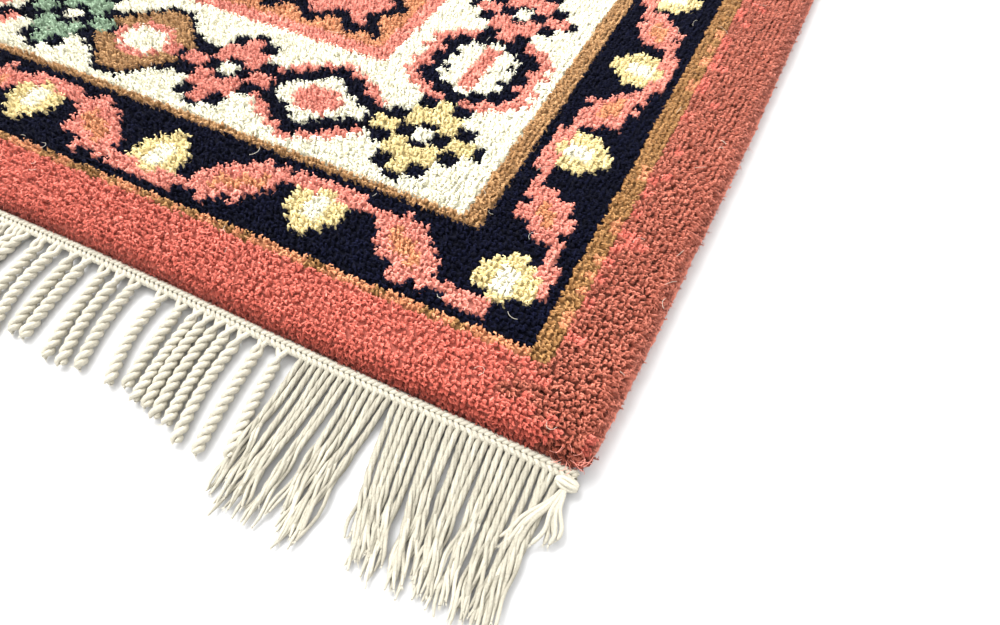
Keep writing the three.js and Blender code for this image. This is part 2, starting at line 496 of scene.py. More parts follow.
def pile_surface(column, row):
    """Top of the pile and its normal at places given in knots, also between the knots."""
    x = (column - COLUMNS / 2) * KNOT
    y = (row - ROWS / 2) * KNOT
    inner_x = COLUMNS_INSIDE * KNOT / 2
    inner_y = ROWS_INSIDE * KNOT / 2
    share_x = (np.abs(column - COLUMNS / 2) - COLUMNS_INSIDE / 2) / SIDE_OUTER
    share_y = (np.abs(row - ROWS / 2) - ROWS_INSIDE / 2) / END_OUTER
    outer_x = half_width_at(np.clip(np.abs(y), 0, LENGTH / 2))
    out_x, turn_x = over_edge(inner_x, outer_x, np.maximum(share_x, 0), SIDE_LAST_ANGLE)
    out_y, turn_y = over_edge(inner_y, end_reach(x, y), np.maximum(share_y, 0), END_LAST_ANGLE)
    x = np.where(share_x > 0, np.sign(x) * out_x, x)
    y = np.where(share_y > 0, np.sign(y) * out_y, y)
    turn_x = np.where(share_x > 0, turn_x, 0)
    turn_y = np.where(share_y > 0, turn_y, 0)
    z = THICKNESS - EDGE_ROUND_DOWN * (1 - np.cos(turn_x) * np.cos(turn_y))
    up = np.cos(turn_x) * np.cos(turn_y) + RIM_LIFT
    normal = np.stack([np.sin(turn_x) * np.sign(x), np.sin(turn_y) * np.sign(y), up], -1)
    x, y = round_corner(x, y)
    return np.stack([x, y, z], -1), unit(normal)


# Meshes


def unit(v):
    return v / np.maximum(np.linalg.norm(v, axis=-1, keepdims=True), 1e-9)


def mesh_piece(name, points, faces, values=None, normals=None, smooth=True):
    """A joined mesh of triangles from arrays, with named float values and normals per point."""
    mesh = bpy.data.meshes.new(name)
    mesh.vertices.add(len(points))
    mesh.vertices.foreach_set("co", (np.asarray(points) * MM).astype(np.float32).ravel())
    mesh.loops.add(3 * len(faces))
    mesh.loops.foreach_set("vertex_index", np.asarray(faces, np.int32).ravel())
    mesh.polygons.add(len(faces))
    mesh.polygons.foreach_set("loop_start", np.arange(0, 3 * len(faces), 3, dtype=np.int32))
    mesh.polygons.foreach_set("use_smooth", np.full(len(faces), smooth))
    for label, data in (values or {}).items():
        layer = mesh.attributes.new(label, "FLOAT", "POINT")
        layer.data.foreach_set("value", np.asarray(data, np.float32))
    mesh.update(calc_edges=True)
    if normals is not None:
        layer = mesh.attributes.new("custom_normal", "FLOAT_VECTOR", "POINT")
        layer.data.foreach_set("vector", np.asarray(normals, np.float32).ravel())
    piece = bpy.data.objects.new(name, mesh)
    bpy.context.collection.objects.link(piece)
    return piece


class Gather:
    """Collects points, faces, shades and normals of many small forms for one joined mesh."""

    def __init__(self):
        self.points, self.faces, self.shades, self.normals, self.count = [], [], [], [], 0

    def add(self, points, faces, shades, normals=None):
        self.points.append(points.reshape(-1, 3))
        self.faces.append(faces.reshape(-1, 3) + self.count)
        self.shades.append(np.broadcast_to(shades, points.shape[:-1]).reshape(-1))
        if normals is not None:
            self.normals.append(normals.reshape(-1, 3))
        self.count += len(self.points[-1])

    def piece(self, name):
        parts = self.points, self.faces, self.shades
        points, faces, shades = (np.concatenate(part) for part in parts)
        normals = np.concatenate(self.normals) if self.normals else None
        return mesh_piece(name, points, faces, {"shade": shades}, normals)


def add_tufts(gather, head, lean, normal, shade, rng):
    """Leaning points of wool, shaded as if soft: their normals turn towards the pile's."""
    count = len(head)
    axis = unit(normal + lean)
    u = unit(lean - axis * (lean * axis).sum(-1, keepdims=True))
    v = np.cross(axis, u)
    turn = rng.uniform(0, 2 * np.pi, (count, 1)) + np.arange(3) * 2 * np.pi / 3
    out = u[:, None] * (TUFT_STRETCH * np.cos(turn))[..., None]
    out = out + v[:, None] * np.sin(turn)[..., None]
    foot = head - (normal + lean) * TUFT_DEPTH
    low = foot[:, None] + FOOT_RADIUS * rng.normal(1, FOOT_UNEVEN, (count, 3, 1)) * out
    k = np.arange(3)
    faces = np.stack([k, (k + 1) % 3, np.full(3, 3)], 1) + 4 * np.arange(count)[:, None, None]
    soft = unit((1 - FOOT_SOFTNESS) * unit(out) + FOOT_SOFTNESS * normal[:, None])
    points = np.concatenate([low, head[:, None]], 1)
    gather.add(points, faces, shade, np.concatenate([soft, normal[:, None]], 1))


def add_fibres(gather, head, lean, normal, shade, rng):
    """Short flat fibres that fan out from each tuft along its lean."""
    head, lean, normal = (np.repeat(part, FIBRES, 0) for part in (head, lean, normal))
    count = len(head)
    stray = rng.normal(0, FIBRE_SPREAD, (count, 3))
    along = lean * FIBRE_FOLLOW + stray
    along = unit(along - normal * (along * normal).sum(-1, keepdims=True))
    along = unit(along + normal * rng.uniform(*FIBRE_RISE, (count, 1)))
    length = rng.uniform(*FIBRE_LENGTH, (count, 1))
    tip = head + stray * FIBRE_STRAY + normal * rng.normal(*FIBRE_HEIGHT, (count, 1))
    root = tip - along * length
    across = unit(np.cross(normal, along)) * FIBRE_HALF_WIDTH
    across = across * rng.uniform(*FIBRE_WIDTHS, (count, 1))
    points = np.stack([root + across, root - across, tip], 1)
    faces = np.arange(3 * count).reshape(count, 1, 3)
    soft = unit(normal[:, None] + FIBRE_SOFTNESS * np.stack([across, -across, along], 1))
    tone = np.repeat(shade, FIBRES)[:, None] * rng.normal(1, FIBRE_TONE_UNEVEN, (count, 1))
    # Painted shade: each fibre darker at its root, lighter at its tip.
    gather.add(points, faces, tone * FIBRE_ROOT_TIP_SHADES, soft)


def ring_quads(stations, sides):
    """Corner numbers of the quads between the neighbouring rings of a tube."""
    k = np.arange(sides)
    n = (k + 1) % sides
    low = (np.arange(stations - 1) * sides)[:, None]
    return np.stack([low + k, low + n, low + sides + n, low + sides + k], -1)


def add_tubes(gather, paths, radii, sides, shade):
    """Tubes along equally long paths that run more level than upright."""
    ahead = unit(np.gradient(paths, axis=1))
    beside = unit(np.cross(ahead, [0, 0, 1.0]))
    above = np.cross(beside, ahead)
    angle = np.arange(sides) * 2 * np.pi / sides
    ring = beside[:, :, None] * np.cos(angle)[:, None] + above[:, :, None] * np.sin(angle)[:, None]
    points = paths[:, :, None] + ring * radii[..., None, None]
    many, stations = paths.shape[:2]
    quads = ring_quads(stations, sides)
    faces = np.concatenate([quads[..., [0, 2, 1]], quads[..., [0, 3, 2]]], 1).reshape(-1, 3)
    faces = faces[None] + (np.arange(many) * stations * sides)[:, None, None]
    shade = np.broadcast_to(np.asarray(shade), paths.shape[:2])
    gather.add(points, faces, np.repeat(shade[..., None], sides, -1))


def twisted(paths, radius, pitch, phase):
    """Paths wound round the given ones."""
    step = np.linalg.norm(np.diff(paths, axis=1), axis=-1)
    run = np.concatenate([np.zeros((len(paths), 1)), np.cumsum(step, 1)], 1)
    ahead = unit(np.gradient(paths, axis=1))
    beside = unit(np.cross(ahead, [0, 0, 1.0]))
    above = np.cross(beside, ahead)
    turn = 2 * np.pi * run / pitch + np.asarray(phase)
    radius = np.broadcast_to(np.asarray(radius, float), run.shape)
    out = beside * np.cos(turn)[..., None] + above * np.sin(turn)[..., None]
    return paths + out * radius[..., None]


# Pile pieces


def swell(place):
    """Slow rise and fall of the clipped surface, between -1 and 1."""
    x, y = place[:, 0], place[:, 1]
    bend = SWELL_BEND * np.sin(y / SWELL_BEND_ALONG)
    return np.sin(x / SWELL_ACROSS + bend) * np.sin(y / SWELL_ALONG + SWELL_START)


def tuft_places(chart, rng):
    """Four tufts to each knot: place in knots, colour key, tone, head, lean and pile normal."""
    rows, columns = np.meshgrid(np.arange(ROWS), np.arange(COLUMNS), indexing="ij")
    knots = np.stack([columns, rows], -1).reshape(-1, 1, 2) + 0.5
    many = len(knots)
    spots = knots + np.array(TUFTS) + rng.normal(0, TUFT_JITTER, (many, len(TUFTS), 2))
    spots = np.clip(spots, RIM_MARGIN, [COLUMNS - RIM_MARGIN, ROWS - RIM_MARGIN]).reshape(-1, 2)
    keys = np.repeat(chart.ravel(), len(TUFTS))
    row_tone = rng.normal(0, ROW_TONE_SPREAD, ROWS + ROW_TONE_REACH - 1)
    row_tone = np.convolve(row_tone, np.ones(ROW_TONE_REACH) / ROW_TONE_REACH, "valid")
    row_tone = 1 + ROW_TONE * row_tone
    knot_tone = rng.normal(1, KNOT_TONE_UNEVEN, many) * row_tone[rows.ravel()]
    tone = np.repeat(knot_tone, len(TUFTS)) * rng.normal(1, TUFT_TONE_UNEVEN, len(spots))
    head, normal = pile_surface(spots[:, 0], spots[:, 1])
    # Painted shade where the pile turns down over the edges and near the ends.
    tone = tone * (1 - EDGE_PAINTED_SHADE * np.clip(1 - normal[:, 2], 0, 1) ** 0.5)
    from_end = KNOT * np.minimum(spots[:, 1], ROWS - spots[:, 1])
    tone = tone * (1 - END_PAINTED_SHADE * np.exp(-from_end / END_SHADE_REACH))
    height = rng.normal(0, TUFT_UNEVEN, len(head)) + SWELL_HEIGHT * swell(head) - TUFT_SINK
    from_side = KNOT * np.minimum(spots[:, 0], COLUMNS - spots[:, 0])
    overcast = np.clip(1 - from_side / OVERCAST_WIDTH, 0, 1)
    rib = np.sin(2 * np.pi * (head[:, 1] + OVERCAST_SLANT * from_side) / OVERCAST_PITCH)
    # Lighter near the sides; along the ribs, painted light on the raised crests and painted shade
    # between them.
    tone = tone * (1 + overcast**0.5 * (OVERCAST_TONE + OVERCAST_RIB_SHADING * rib))
    height = height + OVERCAST_RIB_HEIGHT * overcast * rib
    lean = rng.normal(0, LEAN_UNEVEN, head.shape) + TUFT_LEAN
    return spots, keys, tone, head + normal * height[:, None], lean, normal


def pile_pieces(chart):
    """One joined mesh of tufts and fibres for each yarn, two for rose, the largest."""
    rng = np.random.default_rng(SEED + 1)
    spots, keys, tone, head, lean, normal = tuft_places(chart, rng)
    rose = keys == key("rose")
    front = spots[:, 1] < ROWS / 2
    groups = {"pile_rose_front": rose & front, "pile_rose_back": rose & ~front}
    for name in YARN:
        if name != "rose":
            groups["pile_" + name] = keys == key(name)
    pieces = []
    for name, pick in groups.items():
        yarn = name.split("_")[1]
        gather = Gather()
        # Painted shade: the three foot points of each tuft are darkened to the yarn's root shade.
        shade = tone[pick, None] * np.array([ROOT_SHADE[yarn]] * 3 + [1.0])
        add_tufts(gather, head[pick], lean[pick], normal[pick], shade, rng)
        add_fibres(gather, head[pick], lean[pick], normal[pick], tone[pick], rng)
        piece = gather.piece(name)
        piece.data.materials.append(wool(yarn))
        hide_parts("rug")
        pieces.append(piece)
    return pieces


# Materials


def node_tree(name):
    material = bpy.data.materials.new(name)
    material.use_nodes = True
    tree = material.node_tree
    tree.nodes.clear()
    output = tree.nodes.new("ShaderNodeOutputMaterial")
    shader = tree.nodes.new("ShaderNodeBsdfPrincipled")
    tree.links.new(shader.outputs["BSDF"], output.inputs["Surface"])
    return material, tree, shader


def noise(tree, scale, detail=2.0, rough=0.5):
    where = tree.nodes.new("ShaderNodeTexCoord")
    node = tree.nodes.new("ShaderNodeTexNoise")
    node.inputs["Scale"].default_value = scale
    node.inputs["Detail"].default_value = detail
    node.inputs["Roughness"].default_value = rough
    tree.links.new(where.outputs["Object"], node.inputs["Vector"])
    return node.outputs["Fac"]


def ranged(tree, value, low, high):
    node = tree.nodes.new("ShaderNodeMapRange")
    node.inputs["To Min"].default_value = low
    node.inputs["To Max"].default_value = high
    tree.links.new(value, node.inputs["Value"])
    return node.outputs["Result"]


def product(tree, *values):
    result = values[0]
    for value in values[1:]:
        node = tree.nodes.new("ShaderNodeMath")
        node.operation = "MULTIPLY"
        tree.links.new(result, node.inputs[0])
        tree.links.new(value, node.inputs[1])
        result = node.outputs["Value"]
    return result


def tinted(tree, colour, factor):
    """The colour scaled by a factor that changes over the surface."""
    node = tree.nodes.new("ShaderNodeVectorMath")
    node.operation = "SCALE"
    tree.links.new(colour, node.inputs[0])
    tree.links.new(factor, node.inputs["Scale"])
    return node.outputs["Vector"]


def deepened(tree, colour, shade):
    """A yarn colour made darker and richer where the shade value is low: painted shade in the depth
    of the pile.
    """
    node = tree.nodes.new("ShaderNodeGamma")
    node.inputs["Color"].default_value = (*colour, 1)
    tree.links.new(ranged(tree, shade, PAINTED_SHADE_GAMMA, 1.0), node.inputs["Gamma"])
    return node.outputs["Color"]


def attribute(tree, name):
    node = tree.nodes.new("ShaderNodeAttribute")
    node.attribute_name = name
    return node


def bump(tree, shader, height, strength, distance):
    node = tree.nodes.new("ShaderNodeBump")
    node.inputs["Strength"].default_value = strength
    node.inputs["Distance"].default_value = distance
    tree.links.new(height, node.inputs["Height"])
    tree.links.new(node.outputs["Normal"], shader.inputs["Normal"])


def soft_surface(shader, roughness, specular, sheen=0.0):
    shader.inputs["Roughness"].default_value = roughness
    shader.inputs["Specular IOR Level"].default_value = specular
    shader.inputs["Sheen Weight"].default_value = sheen


# Noise scale, detail and roughness; tone ranges; bump strength and distance in metres
WOOL_FINE, WOOL_FINE_TONE = (1500, 3, 0.6), (0.5, 1.5)
WOOL_BROAD, WOOL_BROAD_TONE = (26,), (0.9, 1.1)
WOOL_BUMP_NOISE, WOOL_BUMP = (1900, 4, 0.65), (0.55, 0.0006)
WOOL_ROUGHNESS, WOOL_SPECULAR = 0.9, 0.1
WOOL_SHEEN, NAVY_SHEEN = 0.1, 0.01
COTTON_FINE, COTTON_FINE_TONE = (1300, 4, 0.7), (0.62, 1.32)
COTTON_BUMP_NOISE, COTTON_BUMP = (1500, 4, 0.7), (0.6, 0.0008)
COTTON_ROUGHNESS, COTTON_SPECULAR, COTTON_SHEEN = 0.85, 0.2, 0.1
BACK_BUMP_NOISE, BACK_BUMP = (700, 2, 0.5), (0.5, 0.0006)
BACK_ROUGHNESS, BACK_SPECULAR = 0.9, 0.15


@functools.cache
def wool(name):
    """Dyed wool with uneven fibres, darker and richer in the depth of the pile by painted shade."""
    material, tree, shader = node_tree("wool_" + name)
    shade = attribute(tree, "shade").outputs["Fac"]
    fine = ranged(tree, noise(tree, *WOOL_FINE), *WOOL_FINE_TONE)
    broad = ranged(tree, noise(tree, *WOOL_BROAD), *WOOL_BROAD_TONE)
    dye = deepened(tree, YARN[name], shade)
    colour = tinted(tree, dye, product(tree, shade, fine, broad))
    tree.links.new(colour, shader.inputs["Base Color"])
    sheen = NAVY_SHEEN if name == "navy" else WOOL_SHEEN
    soft_surface(shader, WOOL_ROUGHNESS, WOOL_SPECULAR, sheen)
    bump(tree, shader, noise(tree, *WOOL_BUMP_NOISE), *WOOL_BUMP)
    return material


@functools.cache
def cotton():
    """Undyed cotton yarn, darker and richer where its painted shade is deep."""
    material, tree, shader = node_tree("cotton")
    shade = attribute(tree, "shade").outputs["Fac"]
    fine = ranged(tree, noise(tree, *COTTON_FINE), *COTTON_FINE_TONE)
    colour = tinted(tree, deepened(tree, COTTON, shade), product(tree, shade, fine))
    tree.links.new(colour, shader.inputs["Base Color"])
    soft_surface(shader, COTTON_ROUGHNESS, COTTON_SPECULAR, COTTON_SHEEN)
    bump(tree, shader, noise(tree, *COTTON_BUMP_NOISE), *COTTON_BUMP)
    return material


def knot_back():
    """The underside, where each knot shows flat in its own yarn, and the pile's roots, darkened as
    painted shade.
    """
    material, tree, shader = node_tree("knot_back")
    colour = attribute(tree, "knot_colour").outputs["Color"]
    tree.links.new(colour, shader.inputs["Base Color"])
    soft_surface(shader, BACK_ROUGHNESS, BACK_SPECULAR)
    bump(tree, shader, noise(tree, *BACK_BUMP_NOISE), *BACK_BUMP)
    return material


# Loose hairs on the pile


def hair_piece(name, column, row, length, bend, lift, material, rng):
    """Loose fibres that lie on the pile round the given places of the chart."""
    count = len(column)
    share = np.linspace(-0.5, 0.5, HAIR_STATIONS)
    turn = rng.uniform(0, 2 * np.pi, (count, 1)) + rng.normal(0, bend, (count, 1)) * share
    place, normal = pile_surface(column, row)
    run = share * length[:, None]
    path = place[:, None] + np.stack([run * np.cos(turn), run * np.sin(turn), 0 * run], -1)
    rise = HAIR_RISE + lift * rng.random((count, 1)) * np.cos(np.pi * share)
    path = path + normal[:, None] * rise[..., None]
    path[..., 2] = np.maximum(path[..., 2], 2 * HAIR_RADIUS)
    gather = Gather()
    radii = np.full((count, HAIR_STATIONS), HAIR_RADIUS)
    add_tubes(gather, path, radii, 3, rng.normal(*HAIR_TONE, (count, 1)))
    piece = gather.piece(name)
    piece.data.materials.append(material)
    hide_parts("rug")
    return piece


def stray_hairs():
    """Pale lint on the pile, and wool ends standing off at the corners."""
    rng = np.random.default_rng(SEED + 5)
    column = rng.uniform(HAIR_MARGIN, COLUMNS - HAIR_MARGIN, HAIRS)
    row = rng.uniform(HAIR_MARGIN, ROWS - HAIR_MARGIN, HAIRS)
    length = rng.uniform(*LINT_LENGTH, HAIRS)
    lint = hair_piece("lint", column, row, length, LINT_BEND, LINT_LIFT, cotton(), rng)
    corner = rng.integers(0, 2, (2, CORNER_ENDS))
    near, far = rng.uniform(*CORNER_COLUMNS, (2, CORNER_ENDS))
    column = np.where(corner[0], near, COLUMNS - far)
    near, far = rng.uniform(*CORNER_ROWS, (2, CORNER_ENDS))
    row = np.where(corner[1], near, ROWS - far)
    length = rng.uniform(*CORNER_LENGTH, CORNER_ENDS)
    ends = hair_piece("corner_ends", column, row, length, CORNER_BEND, CORNER_LIFT, wool("rose"), rng)
    return [lint, ends]


# Foundation with the knots' back


def colour_runs(chart):
    """Runs of one colour along each row: row, first column, column after the last, colour key."""
    breaks = np.ones((ROWS, COLUMNS + 1), bool)
    breaks[:, 1:-1] = chart[:, 1:] != chart[:, :-1]
    row, column = np.nonzero(breaks[:, :-1])
    after = np.append(column[1:], COLUMNS)
    after[np.append(row[1:] != row[:-1], True)] = COLUMNS
    return row, column, after, chart[row, column]


def foundation(chart):
    """The woven cloth: the knots' back below, their roots above, walls round the rim; roots and walls
    darkened as painted shade.
    """
    row, first, after, keys = colour_runs(chart)

    def spot(column, row, laid):
        place, normal = pile_surface(column, row)
        place = place - normal * COVER_DEPTH
        place[:, 2] = 0 if laid else place[:, 2]
        return place

    corners = ((first, row), (after, row), (after, row + 1), (first, row + 1))
    below = np.stack([spot(c, r, True) for c, r in corners], 1)
    above = np.stack([spot(c, r, False) for c, r in corners], 1)
    c, r = np.arange(COLUMNS + 1), np.arange(ROWS + 1)
    rim = [(c[:-1], 0 * c[:-1]), (0 * r[:-1] + COLUMNS, r[:-1])]
    rim += [(c[:0:-1], 0 * c[:0:-1] + ROWS), (0 * r[:0:-1], r[:0:-1])]
    rim_column, rim_row = (np.concatenate(part) for part in zip(*rim))
    low, high = spot(rim_column, rim_row, True), spot(rim_column, rim_row, False)
    walls = np.stack([low, np.roll(low, -1, 0), np.roll(high, -1, 0), high], 1)
    points = np.concatenate([below, above, walls])
    quads = np.arange(4 * len(points)).reshape(-1, 4)
    quads[: len(row)] = quads[: len(row), ::-1]
    faces = np.stack([quads[:, [0, 1, 2]], quads[:, [0, 2, 3]]], 1)
    piece = mesh_piece("foundation", points.reshape(-1, 3), faces.reshape(-1, 3), smooth=False)
    colours = np.array([YARN[name] for name in YARN_KEYS])
    # Painted shade: the cover between the tufts' feet and the rim walls take darkened yarn colours.
    roots = colours * COVER_PAINTED_SHADE
    plain = np.tile(roots[key("coral")], (len(walls), 1))
    shown = np.repeat(np.concatenate([colours[keys], roots[keys], plain]), 2, 0)
    shown = np.concatenate([shown, np.ones((len(shown), 1))], 1)
    layer = piece.data.attributes.new("knot_colour", "FLOAT_COLOR", "FACE")
    layer.data.foreach_set("color", shown.astype(np.float32).ravel())
    piece.data.materials.append(knot_back())
    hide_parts("rug")
    return piece


# Side edges


SELVEDGE_RADIUS = 3.2
SELVEDGE_SIDES = 10
SELVEDGE_STEP = 2.4
SELVEDGE_END = 7
SELVEDGE_END_GAP = 1
SELVEDGE_INSET = 1.0
SELVEDGE_WAVE, SELVEDGE_WAVE_REACH = 0.3, 23
SELVEDGE_RIDGE, RIDGE_UNEVEN, RING_UNEVEN = 0.22, 0.12, 0.08
SELVEDGE_SLANT = 2.2
# Painted light and shade: raised turns of the overcast lighter, sunken ones darker
SELVEDGE_TONE, RIDGE_SHADING = 0.9, 0.5
EDGE_HAIRS = 2000
EDGE_HAIR_REACH = 1.2, 3.6
LEAST_HEIGHT = 0.1


def selvedge():
    """Wool overcast round both long edges, laid in slanted turns."""
    rng = np.random.default_rng(SEED + 2)
    gather = Gather()
    y = np.arange(-LENGTH / 2 + SELVEDGE_END, LENGTH / 2 - SELVEDGE_END, SELVEDGE_STEP)
    y_most = LENGTH / 2 - SELVEDGE_END_GAP
    for side in (-1, 1):
        wave = SELVEDGE_WAVE * np.sin(y / SELVEDGE_WAVE_REACH)
        x = side * (half_width_at(y) - SELVEDGE_RADIUS - SELVEDGE_INSET + wave)
        z = np.full_like(y, SELVEDGE_RADIUS)
        angle = np.arange(SELVEDGE_SIDES) * 2 * np.pi / SELVEDGE_SIDES
        ridge = np.where(np.arange(len(y)) % 2 == 0, SELVEDGE_RIDGE, -SELVEDGE_RIDGE)
        ridge = ridge + rng.normal(0, RIDGE_UNEVEN, len(y))
        uneven = rng.normal(0, RING_UNEVEN, (len(y), SELVEDGE_SIDES))
        radius = SELVEDGE_RADIUS + ridge[:, None] + uneven
        slant = SELVEDGE_SLANT * np.sin(angle) * np.ones_like(radius)
        ring = np.stack(
            [
                x[:, None] + side * radius * np.cos(angle),
                np.clip(y[:, None] + slant, -y_most, y_most),
                np.maximum(z[:, None] + radius * np.sin(angle), LEAST_HEIGHT),
            ],
            -1,
        )
        quads = ring_quads(len(y), SELVEDGE_SIDES)
        order = ([0, 2, 1], [0, 3, 2]) if side > 0 else ([0, 1, 2], [0, 2, 3])
        faces = np.concatenate([quads[..., order[0]], quads[..., order[1]]], 1)
        # Painted light and shade: raised turns lighter, sunken turns darker.
        gather.add(ring, faces, (SELVEDGE_TONE + RIDGE_SHADING * ridge)[:, None])
        spine = np.stack([x, y, z], -1)[None]
        add_fuzz(gather, spine, SELVEDGE_RADIUS, rng, EDGE_HAIRS, EDGE_HAIR_REACH)
    piece = gather.piece("selvedge")
    piece.data.materials.append(wool("russet"))
    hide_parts("rug")
    return piece


# Fringe


STRIP_RIGHT = END_WIDTH / 2 - STRIP_SETBACK
STRIP_ROWS = (
    # outwards from the pile's end, height, twist
    (0.3, 3.9, 4.8),
    (2.5, 3.4, -4.8),
)
STRIP_STEP = 1.1
STRIP_YARN, STRIP_WIND = 0.9, 0.75
STRIP_TONE, STRIP_TONE_WAVE, STRIP_TONE_REACH = 0.97, 0.05, 9.0
YARN_SIDES = 5

# Loose ends: yarns to a strand, how they wind, part and lift, and their tones with painted shade
# under and between the strands
STRAND_YARNS = 4
YARN_RADIUS, YARN_TIP_RADIUS = 0.77, 0.4
YARN_WIND, YARN_PITCH = 0.62, 19.0
YARN_STATIONS = 18
LOOSE_TOP, LOOSE_REST, LOOSE_DROP = 3.3, 1.5, 0.3
LOOSE_TIP_UNEVEN, LOOSE_BOW, LOOSE_LIFT = 1.6, 0.6, 0.7
SWING_EASE = 1.25
PART_FROM, PART_OVER = (0.3, 0.6), 0.55
PARTED_SWEEP, PARTED_EASE, PARTED_LENGTH = 2.0, 1.3, 2.4
PARTED_CURL, CURL_TURNS, CURL_LAG = 0.9, (6, 9), 0.5
PARTED_LIFT, PARTED_THINNING = 1.6, 0.1
YARN_LOWEST = 0.88
YARN_TONE, LOW_YARN_SHADE, PARTED_TONE = (0.84, 0.06), 0.58, 0.1
YARN_FUZZ_RADIUS, YARN_FUZZ, YARN_FRAY = 0.84, 3, 4

# Twisted cords: plies, how they gather from the strip, and their blunt ends
CORD_STATIONS = 40
CORD_PITCH, CORD_PITCH_UNEVEN = -8.6, 0.4
PLY_RADIUS, PLY_WIND = 1.4, 1.15
CORD_TOP, CORD_REST, CORD_DROP = 3.2, 2.55, 0.2
CORD_BOW, CORD_LAG = 0.9, 0.22
GATHER_SHARE, GATHER_EASE, GATHER_HALF, GATHER_THINNING = 0.17, 0.7, 1.9, 0.25
PLY_LOWEST = 1.45
BLUNT_ENDS = 0.85, 0.3
CORD_TONE = 0.97, 0.04
CORD_FUZZ, CORD_FRAY = 9, 3

# The tied end of the strip at its right corner
TIE_IN, TIE_OUT, TIE_UP = 2.4, 2.0, 1.0
TIE_RADIUS = 2.0
TIE_LENGTH = 7.5
TIE_YARNS = 7
TIE_STATIONS = 12
TIE_TURN = 0.5
TIE_PINCH = 0.02
TIE_YARN_RADIUS, TIE_YARN_SIDES, TIE_TONE = 0.95, 6, 0.98
TIE_CORE_SIDES, TIE_CORE_TONE = 8, 0.85
TAIL_RADIUS, TAIL_TONE, TAIL_FRAY = 0.84, (0.86, 0.07), 5
TAIL_EASE, TAIL_WAVE, TAIL_TURNS = 1.15, 1.1, 9
TAIL_TOP, TAIL_REST, TAIL_DROP = 2.6, 2.2, 0.5
TAIL_ARCH, TAIL_UNEVEN, TAIL_START = 1.2, 0.5, 1.0
TAIL_TIPS = (
    # right and outward from the tied end: a long lock laid over the strands, then a short one
    (-10.0, -26.0),
    (-12.0, -28.5),
    (-13.5, -26.0),
    (-9.0, -24.0),
    (-11.0, -30.0),
    (-8.0, -28.0),
    (2.0, -18.5),
    (3.0, -21.5),
    (0.5, -22.0),
    (5.0, -19.0),
    (-1.5, -24.0),
)

# Fine hairs on the yarns and at their cut ends
FUZZ_HALF_WIDTH, FUZZ_UP, FUZZ_STRAY, FUZZ_SINK = 0.09, 0.6, 0.5, 0.8
FUZZ_REACH, FUZZ_TONE = (0.7, 1.7), (0.95, 1.1)
FRAY_STRAY, FRAY_FLATNESS = 0.45, 0.35
FRAY_REACH, FRAY_HALF_WIDTH, FRAY_TONE = (0.8, 2.6), (0.1, 0.2), (0.95, 1.08)
FRAY_LOWEST = 0.15


def pile_end(x):
    """The front end of the pile."""
    return -half_length_at(-x)


def strip_line(x):
    """Middle of the twined strip along the front end."""
    return pile_end(x) - PIECE_GAP - STRIP_WIDTH / 2


def fall(share, start, rest, drop_share):
    """Height of a strand that comes down off the strip and then lies on the floor."""
    t = np.clip(share / drop_share, 0, 1)
    return start + (rest - start) * (3 * t**2 - 2 * t**3)


def add_strip(gather):
    """Two rows of two-ply twining along the front end."""
    x = np.arange(-STRIP_RIGHT, STRIP_RIGHT + 0.1, STRIP_STEP)
    for out, height, pitch in STRIP_ROWS:
        path = np.stack([x, pile_end(x) - out, np.full_like(x, height)], -1)[None]
        for phase in (0, np.pi):
            wound = twisted(path, STRIP_WIND, pitch, phase)
            tone = STRIP_TONE + STRIP_TONE_WAVE * np.sin(x / STRIP_TONE_REACH + phase + out)
            add_tubes(gather, wound, np.full(wound.shape[:2], STRIP_YARN), YARN_SIDES, tone[None])


def loose_paths():
    """Roots, tips and reaches of the loose ends, in even bunches."""
    roots, tips, reaches = [], [], []
    for count, first_root, last_root, first_tip, last_tip, reach in LOOSE_BUNCHES:
        share = np.linspace(0, 1, count)
        roots.append(first_root + (last_root - first_root) * share)
        tips.append(first_tip + (last_tip - first_tip) * share)
        reaches.append(reach + REACH_UNEVEN * np.sin(REACH_TURN * np.arange(count)))
    roots, tips, reaches = (np.concatenate(x) for x in (roots, tips, reaches))
    return STRIP_RIGHT - roots, STRIP_RIGHT - tips, reaches


def cord_paths():
    """Roots, tips and reaches of the cords, which repeat their list along the strip."""
    roots, tips, reaches = [], [], []
    distance = LOOSE_BUNCHES[-1][2]
    while True:
        step, swing, reach = CORDS[len(roots) % len(CORDS)]
        distance += step
        if distance > 2 * STRIP_RIGHT - LAST_ROOT_MARGIN:
            return np.array(roots), np.array(tips), np.array(reaches)
        roots.append(STRIP_RIGHT - distance)
        tips.append(STRIP_RIGHT - distance + swing)
        reaches.append(reach)


